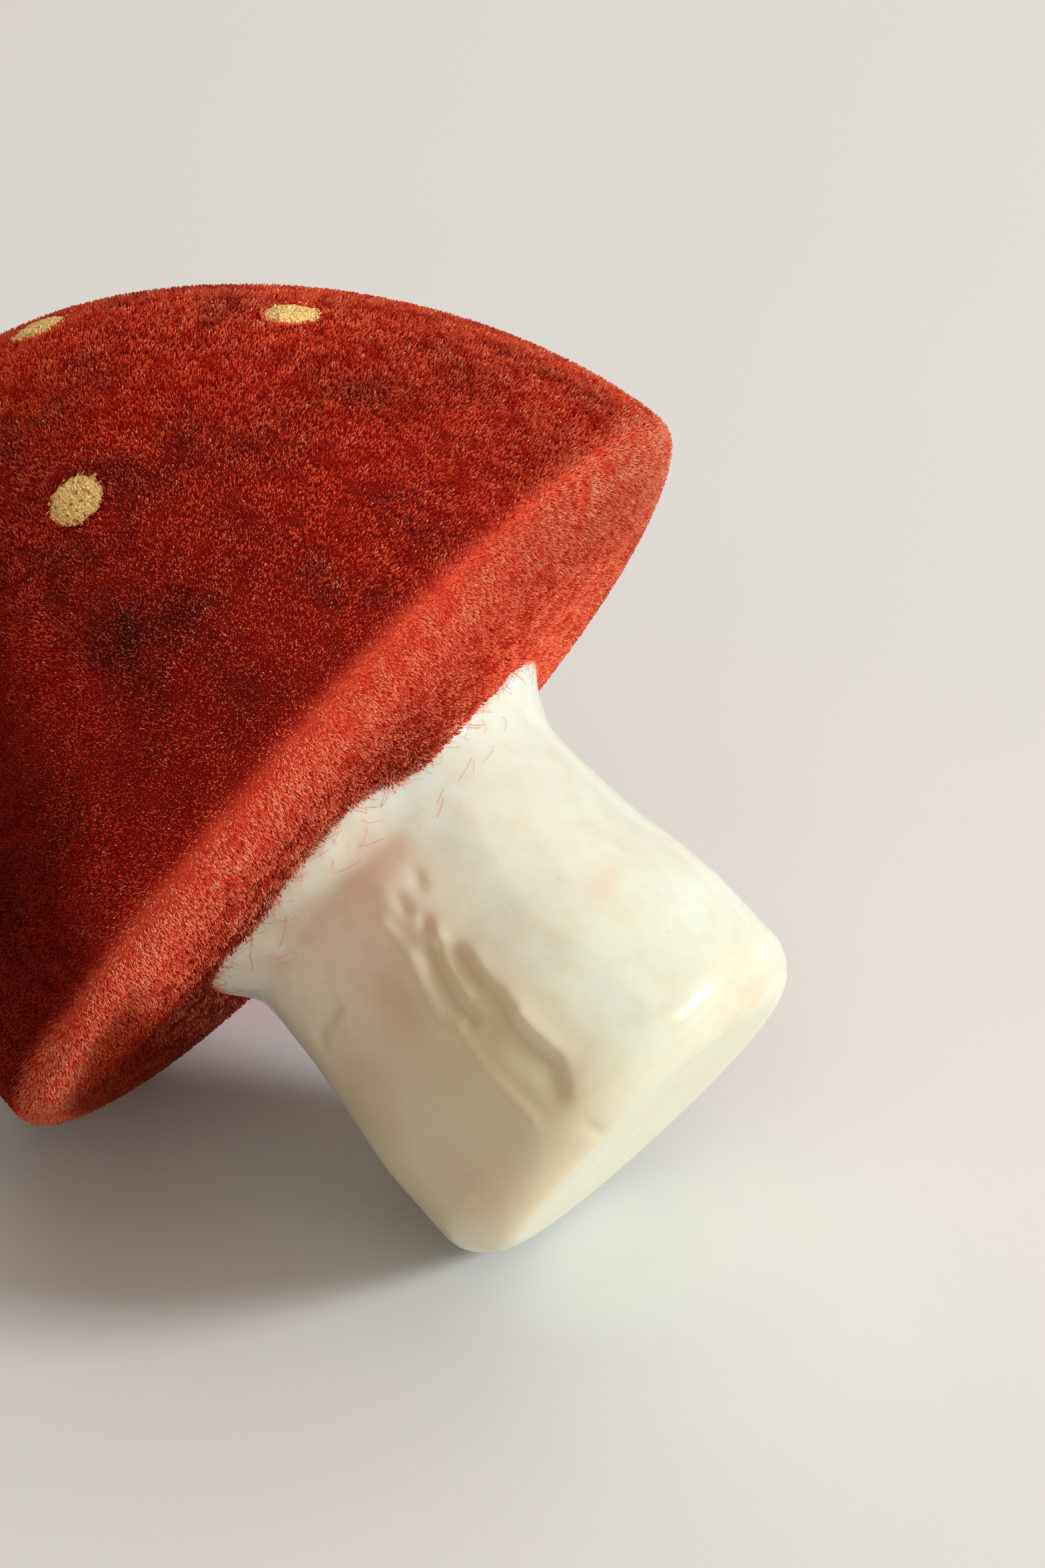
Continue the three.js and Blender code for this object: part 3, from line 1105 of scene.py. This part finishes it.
def fibre_lean(group, pile, place, lean, seed):
    """Leans the fibres on: patches and tufts are brushed over, and each goes a little its own way."""
    pulls = []
    for scale, detail, strength in BRUSHED:
        cloud = clouds(group, place, scale, detail)["Color"]
        pulls.append((vector_calc(group, "SUBTRACT", cloud, (0.5, 0.5, 0.5)), strength * pile.nap))
    wild = group.nodes.new("FunctionNodeRandomValue")
    wild.data_type = "FLOAT_VECTOR"
    wild.inputs[0].default_value = (-1, -1, -1)
    wild.inputs[1].default_value = (1, 1, 1)
    put(group, wild.inputs["Seed"], seed)
    pulls.append((wild.outputs[0], pile.tousle))
    for pull, strength in pulls:
        lean = vector_calc(group, "ADD", lean, vector_calc(group, "MULTIPLY", pull, (strength,) * 3))
    return lean


def fibre_shade(group, place):
    """Each fibre's shade: partly its tuft's and partly its own. A few are marked for painted glints."""
    tufts = clouds(group, place, scale=450, detail=4, roughness=0.7)[0]
    tufts = times(group, between(group, tufts, *TUFT_SPAN), TUFT_SHARE)
    shade = calc(group, "MULTIPLY_ADD", random_number(group, seed=SHADE_SEED), OWN_SHARE, tufts)
    spark = between(group, random_number(group, seed=SPARK_SEED), *SPARK_CHANCE, 0, SPARK)
    return calc(group, "MAXIMUM", shade, spark)


def fibre_cell(group, points):
    """Each fibre's column and row in the colour map, and how many of either there are."""
    count = add(group, "GeometryNodeAttributeDomainSize", {"component": "POINTCLOUD"}, Geometry=points)
    rows = calc(group, "CEIL", calc(group, "SQRT", count.outputs["Point Count"]))
    index = group.nodes.new("GeometryNodeInputIndex").outputs[0]
    column = calc(group, "FLOORED_MODULO", index, rows)
    row = calc(group, "FLOOR", calc(group, "DIVIDE", index, rows))
    return add(group, "ShaderNodeCombineXYZ", X=column, Y=row, Z=rows).outputs[0]


def lay_out(group, whole):
    """Moves each fibre's corners to its own cell of the colour map."""
    cell = stored(group, "cell")
    rows = add(group, "ShaderNodeSeparateXYZ", Vector=cell).outputs["Z"]
    grid = add(group, "ShaderNodeCombineXYZ", X=rows, Y=rows, Z=rows).outputs[0]
    laid = vector_calc(group, "DIVIDE", vector_calc(group, "ADD", stored(group, "OFBake"), cell), grid)
    whole = store(group, whole, "OFBake", laid, kind="FLOAT2", domain="CORNER")
    return add(group, "GeometryNodeRemoveAttribute", Geometry=whole, Name="cell").outputs[0]


def pile_group(pile, cap, stem, fibre, centres, body, dot_radius):
    """Geometry nodes that plant fibres on a skin, brush them and lay them out for their colour map."""
    group = bpy.data.node_groups.new("Velvet pile", "GeometryNodeTree")
    sockets(group, "INPUT", "Geometry", "Skin")
    sockets(group, "INPUT", "Int", "Seed")
    sockets(group, "OUTPUT", "Geometry", "Pile")
    skin, seed = group.nodes.new("NodeGroupInput").outputs[:2]
    scatter = add(
        group, "GeometryNodeDistributePointsOnFaces", {"distribute_method": "RANDOM"},
        Mesh=skin, Density=pile.per_mm2 / MM**2, Seed=seed,
    ).outputs
    place = group.nodes.new("GeometryNodeInputPosition").outputs[0]

    # No fibres inside the stem, and short matted ones under the dots
    foot = stem_place()
    from_foot = vector_calc(group, "SUBTRACT", place, foot.translation)
    up = vector_calc(group, "PROJECT", from_foot, axis_of(foot))
    inside = calc(group, "LESS_THAN", vector_calc(group, "DISTANCE", from_foot, up), stem.neck_radius)
    below = calc(group, "LESS_THAN", height_over(group, place, foot), cap.rim_height)
    buried = times(group, inside, below)
    points = add(group, "GeometryNodeDeleteGeometry", Geometry=scatter["Points"], Selection=buried)
    points = points.outputs[0]
    reach = [dot_radius * share for share in MATTED_EDGE]
    matted = between(group, distance_to(group, centres, "POINTS"), *reach, MATTED_LENGTH, 1)

    # Each fibre's lean: the dome's pile is combed, and the collar pushes the hem's outwards
    combed = between(group, height_over(group, place, cap_place(cap)), *COMB_EDGE, 0, pile.comb)
    combed = vector_calc(group, "MULTIPLY", combed, Vector(COMBED))
    outward = vector_calc(group, "NORMALIZE", vector_calc(group, "SUBTRACT", from_foot, up))
    hem = between(group, distance_to(group, body, "FACES"), *HEM_REACH, 1, 0)
    pushed = vector_calc(group, "MULTIPLY", times(group, hem, pile.hem_push), outward)
    lean = vector_calc(group, "ADD", scatter["Normal"], combed)
    lean = fibre_lean(group, pile, place, vector_calc(group, "ADD", lean, pushed), seed)
    stand = add(group, "FunctionNodeAlignRotationToVector", {"axis": "Z"}, Vector=lean).outputs[0]

    # Each fibre's size, shade and share of the colour map
    sized = random_number(group, *FIBRE_SIZES)
    scale = add(group, "ShaderNodeCombineXYZ", X=sized, Y=sized, Z=times(group, sized, matted)).outputs[0]
    cell = fibre_cell(group, points)
    points = store(group, points, "shade", fibre_shade(group, place))
    # Kept for the materials, which paint shade along the hem
    points = store(group, points, "hem", hem)
    points = store(group, points, "cell", cell, kind="FLOAT_VECTOR")
    parts = add(group, "ShaderNodeSeparateXYZ", Vector=place).outputs
    along = calc(group, "DIVIDE", parts["Z"], pile.fibre_length)
    spike = store(group, shape_of(group, fibre), "along", along)
    planted = add(
        group, "GeometryNodeInstanceOnPoints", Points=points, Instance=spike, Rotation=stand, Scale=scale
    )
    whole = add(group, "GeometryNodeRealizeInstances", Geometry=planted.outputs[0]).outputs[0]

    # Nothing reaches through the table
    kept = calc(group, "MAXIMUM", parts["Z"], 0.0)
    above = add(group, "ShaderNodeCombineXYZ", X=parts["X"], Y=parts["Y"], Z=kept).outputs[0]
    whole = add(group, "GeometryNodeSetPosition", Geometry=whole, Position=above).outputs[0]
    add(group, "NodeGroupOutput", Pile=lay_out(group, whole))
    return group


def on_stem(body, turn, up):
    """The point of the stem's surface at an angle and a height, and the way out of it."""
    stem = stem_place()
    out = stem.to_3x3() @ Vector((math.cos(turn), math.sin(turn), 0))
    place, normal, _, _ = body.ray_cast(stem @ Vector((0, 0, up)) + out * RAY_START * MM, -out)
    if place is None:
        raise RuntimeError("nothing of the stem at %.1f mm" % (up / MM))
    return place, normal


def hem_height(body, skin, pile, stem, turn):
    """How far up the stem the velvet's hem meets it."""
    up = stem.neck_height - HEM_START
    while up < stem.neck_height + stem.flare - HEM_END:
        if skin.find_nearest(on_stem(body, turn, up)[0])[3] < HEM_DEPTH * pile.fibre_length:
            break
        up += HEM_STEP
    return up


def stray_path(rng, body, skin, pile, stem):
    """Points along a loose fibre that comes out of the hem and lies over the collar."""
    turn = rng.uniform(-math.pi, math.pi)
    up = hem_height(body, skin, pile, stem, turn)
    if rng.random() < STRAY_SLIPPED:
        up -= rng.uniform(*STRAY_SLIPS) * MM
    reach = rng.uniform(*STRAY_LENGTHS) * MM
    drift = rng.gauss(0, STRAY_DRIFT)
    bend = rng.gauss(0, STRAY_BEND)
    arch = rng.uniform(0, STRAY_ARCH) * MM
    path = []
    for step in range(STRAY_STEPS + 1):
        t = step / STRAY_STEPS
        side = reach * (drift * t + bend * t * t) / stem.neck_radius
        place, normal = on_stem(body, turn + side, up + STRAY_ROOT * MM - reach * t)
        path.append(place + normal * (STRAY_LIFT * MM + 4 * arch * t * (1 - t)))
    return path


def dot_places(cap):
    """A matrix for each dot, on the velvet with Z outwards, in the order of the CAD nodes."""
    base = cap_place(cap)
    places = []
    for count, drop, first in DOT_ROWS:
        height = cap.dome_height - drop * MM
        radius = dome_radius(cap, height)
        outward = dome_outward(cap, height)
        for step in range(count):
            turn = math.radians(first + 360 * step / count)
            around = Vector((math.cos(turn), math.sin(turn), 0))
            normal = around * outward.x + Vector((0, 0, outward.y))
            place = around * radius + Vector((0, 0, height))
            tilt = normal.to_track_quat("Z", "Y").to_matrix().to_4x4()
            places.append(base @ Matrix.Translation(place) @ tilt)
    return places


def dot_outline(dots):
    """(radius, height) points of a dot from the middle of its buried face round its edge to its crown."""
    outline = [Vector((0, -dots.sink)), Vector((dots.radius * DOT_BASE, -dots.sink))]
    for step in range(DOT_STEPS + 1):
        reach = 1 - step / DOT_STEPS
        outline.append(Vector((dots.radius * reach, dots.crown * (1 - reach**DOT_FLATNESS))))
    return outline


def roughen_dot(bm, dots, cap, shift):
    """Gives a dot its ragged edge and its grains, and bends it to the dome."""
    for vert in bm.verts:
        out = Vector((vert.co.x, vert.co.y, 0))
        edge = out.length / dots.radius
        turn = math.atan2(out.y, out.x)
        ragged = 0
        for waves, layer, share in DOT_WAVES:
            around = Vector((math.cos(turn) * waves, math.sin(turn) * waves, layer))
            ragged += share * noise.noise(around + shift)
        vert.co += out * ragged * DOT_RAGGED * ease(*DOT_EDGE, edge)
        if vert.co.z > -dots.sink / 2:
            grain = noise.noise(vert.co / FINE_GRAIN + shift)
            grain += COARSE_SHARE * noise.noise(vert.co / COARSE_GRAIN)
            vert.co.z += dots.grain * grain
        vert.co.z -= (vert.co.x**2 + vert.co.y**2) / (2 * cap.radius)


def add_flakes(bm, dots, rng):
    """Strews flakes of paint along a dot's edge."""
    for _ in range(FLAKES):
        turn = rng.uniform(0, 2 * math.pi)
        away = dots.radius * rng.gauss(1.0, FLAKE_SPREAD)
        size = rng.uniform(*FLAKE_SIZES) * MM
        spot = Vector((away * math.cos(turn), away * math.sin(turn), rng.uniform(*FLAKE_RISES) * MM))
        shape = Matrix.Translation(spot) @ Matrix.Rotation(rng.uniform(0, FLAKE_TURN), 4, "X")
        bmesh.ops.create_icosphere(
            bm, subdivisions=1, radius=size, matrix=shape @ Matrix.Diagonal(FLAKE_SHAPE)
        )


# Stage

def mixed(tree, share, first, second):
    """Two shaders mixed by a share."""
    node = add(tree, "ShaderNodeMixShader", Fac=share)
    tree.links.new(first.outputs[0], node.inputs[1])
    tree.links.new(second.outputs[0], node.inputs[2])
    return node.outputs[0]


def floor_material(stage):
    """Pale floor that fades to the backdrop's colour far away."""
    material, tree, place = new_material("pale floor")
    cloud = patches(tree, place, scale=6, detail=2, low=0.2, high=0.8)
    darker = [channel * FLOOR_SHADE for channel in stage.floor]
    shade = blend(tree, cloud, stage.floor, darker)
    shader = add(tree, "ShaderNodeBsdfPrincipled", Base_Color=shade, Roughness=0.9, Specular_IOR_Level=0.1)
    seen = tree.nodes.new("ShaderNodeLightPath").outputs["Is Camera Ray"]
    away = between(tree, vector_calc(tree, "DISTANCE", place, (0, 0, 0)), stage.fade_from, stage.fade_to)
    haze = add(tree, "ShaderNodeEmission", Color=stage.backdrop, Strength=1.0)
    surface = mixed(tree, times(tree, seen, away), shader, haze)
    add(tree, "ShaderNodeOutputMaterial", Surface=surface)
    return material


def studio(stage):
    """Light from all round, stronger from one side. The camera sees the backdrop in its place."""
    world = bpy.data.worlds.new("Studio")
    world.use_nodes = True
    tree = world.node_tree
    tree.nodes.clear()
    way = tree.nodes.new("ShaderNodeTexCoord").outputs["Generated"]
    bright_side = view_axes(stage.turn, stage.tilt)[0]
    towards = vector_calc(tree, "DOT_PRODUCT", way, bright_side)
    strength = calc(tree, "MULTIPLY_ADD", towards, stage.fill * stage.fill_slant, stage.fill)
    fill = add(tree, "ShaderNodeBackground", Color=stage.fill_colour, Strength=strength)
    backdrop = add(tree, "ShaderNodeBackground", Color=stage.backdrop, Strength=1.0)
    seen = tree.nodes.new("ShaderNodeLightPath").outputs["Is Camera Ray"]
    add(tree, "ShaderNodeOutputWorld", Surface=mixed(tree, seen, fill, backdrop))
    return world


def soft_box(name, turn, tilt, distance, size, power, tint):
    """A square soft box that faces the ornament from a distance."""
    lamp = bpy.data.lights.new(name, "AREA")
    lamp.shape = "SQUARE"
    lamp.size = size
    lamp.energy = power
    lamp.color = tint
    box = bpy.data.objects.new(name, lamp)
    right, up, back = view_axes(turn, tilt)
    box.matrix_world = from_axes(right, up, back, back * distance)
    box.visible_camera = False
    bpy.context.scene.collection.objects.link(box)


def camera(stage):
    """The camera in its place."""
    lens = bpy.data.cameras.new("Camera")
    lens.sensor_width = SENSOR_WIDTH
    lens.lens = stage.lens
    lens.clip_start = CLIP_START
    lens.clip_end = CLIP_END
    eye = bpy.data.objects.new("Camera", lens)
    eye.matrix_world = from_axes(*view_axes(stage.turn, stage.tilt), Vector(stage.camera))
    bpy.context.scene.collection.objects.link(eye)
    return eye


# Operators

class MUSHROOM_OT_stem(bpy.types.Operator):
    """Make the glazed stem with its folds, collar and spigot"""

    bl_idname = "mushroom.stem"
    bl_label = "Stem"

    def execute(self, context):
        stem = context.scene.mushroom_stem
        bm = bmesh.new()
        lathe(bm, stem_outline(stem), STEM_ROUND)
        press_stem(bm, stem)
        body = mesh_object(bm, "stem_body", stem_place())
        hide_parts("stem")
        dress(body, glaze_material(stem))
        return {"FINISHED"}


class MUSHROOM_OT_skin(bpy.types.Operator):
    """Make the velvet's backing over the core, with its wavy hem"""

    bl_idname = "mushroom.skin"
    bl_label = "Velvet backing"

    def execute(self, context):
        cap = context.scene.mushroom_cap
        bm = bmesh.new()
        lathe(bm, skin_outline(cap), CAP_ROUND)
        wave_hem(bm, stem_place().inverted() @ cap_place(cap))
        crown = max(bm.faces, key=lambda face: face.calc_center_median().z)
        if crown.normal.z < 0:
            bmesh.ops.reverse_faces(bm, faces=bm.faces)
        bm.transform(cap_place(cap))
        body = BVHTree.FromObject(bpy.data.objects["stem_body"], context.evaluated_depsgraph_get())
        # Nearness to the stem, for the backing's painted shade along the hem
        hem = bm.verts.layers.float.new("hem")
        for vert in bm.verts:
            away = body.find_nearest(vert.co)[3]
            vert[hem] = 1 - ease(*HEM_REACH, away)
        skin = mesh_object(bm, "velvet_skin")
        wall = skin.modifiers.new("Backing", "SOLIDIFY")
        wall.thickness = cap.skin_thickness
        wall.offset = -1
        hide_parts("velvet_coat")
        material = backing_material(context.scene.mushroom_pile, cap)
        dress(skin, material)
        return {"FINISHED"}


class MUSHROOM_OT_pile(bpy.types.Operator):
    """Plant the velvet's fibres on the backing, one sector of the cap at a time"""

    bl_idname = "mushroom.pile"
    bl_label = "Velvet pile"

    def execute(self, context):
        pile = context.scene.mushroom_pile
        cap = context.scene.mushroom_cap
        skin = bpy.data.objects["velvet_skin"]
        to_cap = cap_place(cap).inverted()
        fibre = fibre_object(pile)
        centres = point_object("dot_centres", [m.translation for m in dot_places(cap)])
        group = pile_group(
            pile, cap, context.scene.mushroom_stem, fibre, centres, bpy.data.objects["stem_body"],
            context.scene.mushroom_dots.radius,
        )
        material = pile_material(pile, cap)
        for sector in range(pile.sectors):
            bm = bmesh.new()
            bm.from_mesh(skin.data)
            others = []
            for face in bm.faces:
                middle = to_cap @ face.calc_center_median()
                turn = math.atan2(middle.y, middle.x) % (2 * math.pi)
                if int(turn / (2 * math.pi) * pile.sectors) % pile.sectors != sector:
                    others.append(face)
            bmesh.ops.delete(bm, geom=others, context="FACES")
            nap = mesh_object(bm, f"velvet_pile_{sector + 1}")
            plant = nap.modifiers.new("Pile", "NODES")
            plant.node_group = group
            plant[group.interface.items_tree["Seed"].identifier] = pile.seed + sector
            shaped = nap.evaluated_get(context.evaluated_depsgraph_get())
            grown = bpy.data.meshes.new_from_object(shaped)
            if not grown.polygons:
                raise RuntimeError("no fibre grew on sector %d" % (sector + 1))
            nap.modifiers.clear()
            nap.data = grown
            dress(nap, material)
        for helper in (fibre, centres):
            bpy.data.objects.remove(helper)
        return {"FINISHED"}


class MUSHROOM_OT_strays(bpy.types.Operator):
    """Lay loose fibres from the velvet's hem over the collar"""

    bl_idname = "mushroom.strays"
    bl_label = "Stray fibres"

    def execute(self, context):
        pile = context.scene.mushroom_pile
        ready = context.evaluated_depsgraph_get()
        body = BVHTree.FromObject(bpy.data.objects["stem_body"], ready)
        skin = BVHTree.FromObject(bpy.data.objects["velvet_skin"], ready)
        rng = random.Random(pile.seed)
        lines = bpy.data.curves.new("stray_fibres", "CURVE")
        lines.dimensions = "3D"
        lines.bevel_depth = pile.stray_radius
        lines.bevel_resolution = 0
        lines.use_fill_caps = True
        for _ in range(pile.strays):
            path = stray_path(rng, body, skin, pile, context.scene.mushroom_stem)
            line = lines.splines.new("POLY")
            line.points.add(len(path) - 1)
            for point, place in zip(line.points, path):
                point.co = (*place, 1)
        strays = bpy.data.objects.new("stray_fibres", lines)
        context.scene.collection.objects.link(strays)
        dress(strays, stray_material(pile))
        return {"FINISHED"}


class MUSHROOM_OT_dots(bpy.types.Operator):
    """Make the granular gold dots on the dome"""

    bl_idname = "mushroom.dots"
    bl_label = "Gold dots"

    def execute(self, context):
        dots = context.scene.mushroom_dots
        cap = context.scene.mushroom_cap
        material = gold_material(dots)
        rng = random.Random(DOT_SEED)
        for count, place in enumerate(dot_places(cap), start=1):
            bm = bmesh.new()
            lathe(bm, dot_outline(dots), DOT_ROUND)
            shift = Vector((rng.random(), rng.random(), rng.random())) * DOT_SHIFT
            roughen_dot(bm, dots, cap, shift)
            add_flakes(bm, dots, rng)
            bmesh.ops.recalc_face_normals(bm, faces=bm.faces)
            dot = mesh_object(bm, f"gold_spot_{count}", place, smooth=False)
            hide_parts(f"gold_dot_{count}")
            dress(dot, material)
        return {"FINISHED"}


class MUSHROOM_OT_core(bpy.types.Operator):
    """Give the hidden core its bare casting finish"""

    bl_idname = "mushroom.core"
    bl_label = "Core"

    def execute(self, context):
        core = frame["nodes"]["cap_core"]
        material = casting_material()
        if not core.material_slots:
            raise RuntimeError("the core has no material slot")
        for place in core.material_slots:
            place.material = material
        return {"FINISHED"}


class MUSHROOM_OT_stage(bpy.types.Operator):
    """Set the floor, the soft light and the camera"""

    bl_idname = "mushroom.stage"
    bl_label = "Stage"

    def execute(self, context):
        stage = context.scene.mushroom_stage
        scene = context.scene
        scene.view_settings.view_transform = "Standard"
        bm = bmesh.new()
        bmesh.ops.create_circle(bm, cap_ends=True, segments=FLOOR_SIDES, radius=FLOOR_RADIUS)
        floor = mesh_object(bm, "floor")
        floor.data.materials.append(floor_material(stage))
        scene.world = studio(stage)
        for name, key, distance, tint in (
            ("Soft box", "key", stage.key_distance, stage.key_colour),
            ("Overhead box", "top", stage.top_height, stage.fill_colour),
            ("Front box", "front", stage.top_height, stage.fill_colour),
        ):
            values = {what: getattr(stage, f"{key}_{what}") for what in ("turn", "tilt", "size", "power")}
            soft_box(name, distance=distance, tint=tint, **values)
        scene.camera = camera(stage)
        return {"FINISHED"}


class MUSHROOM_PT_panel(bpy.types.Panel):
    """Settings and operators of the ornament"""

    bl_idname = "MUSHROOM_PT_panel"
    bl_label = "Velvet Mushroom"
    bl_space_type = "VIEW_3D"
    bl_region_type = "UI"
    bl_category = "Mushroom"

    def draw(self, context):
        for name in SETTINGS:
            box = self.layout.box()
            settings = getattr(context.scene, name)
            for key in settings.bl_rna.properties.keys():
                if key not in {"rna_type", "name"}:
                    box.prop(settings, key)
        for operator in OPERATORS:
            self.layout.operator(operator.bl_idname)


SETTINGS = {
    "mushroom_stem": StemSettings,
    "mushroom_cap": CapSettings,
    "mushroom_pile": PileSettings,
    "mushroom_dots": DotSettings,
    "mushroom_stage": StageSettings,
}
OPERATORS = (
    MUSHROOM_OT_stem,
    MUSHROOM_OT_skin,
    MUSHROOM_OT_pile,
    MUSHROOM_OT_strays,
    MUSHROOM_OT_dots,
    MUSHROOM_OT_core,
    MUSHROOM_OT_stage,
)


def register():
    """Registers the settings, the operators and the panel."""
    for name, group in SETTINGS.items():
        bpy.utils.register_class(group)
        setattr(bpy.types.Scene, name, bpy.props.PointerProperty(type=group))
    for operator in OPERATORS:
        bpy.utils.register_class(operator)
    bpy.utils.register_class(MUSHROOM_PT_panel)


def unregister():
    """Takes all of it out again."""
    bpy.utils.unregister_class(MUSHROOM_PT_panel)
    for operator in reversed(OPERATORS):
        bpy.utils.unregister_class(operator)
    for name, group in reversed(SETTINGS.items()):
        delattr(bpy.types.Scene, name)
        bpy.utils.unregister_class(group)


def main():
    """Builds the ornament and its stage."""
    register()
    bpy.ops.mushroom.stem()
    bpy.ops.mushroom.skin()
    bpy.ops.mushroom.pile()
    bpy.ops.mushroom.strays()
    bpy.ops.mushroom.dots()
    bpy.ops.mushroom.core()
    bpy.ops.mushroom.stage()
    bpy.context.view_layer.update()


if __name__ == "__main__":
    main()
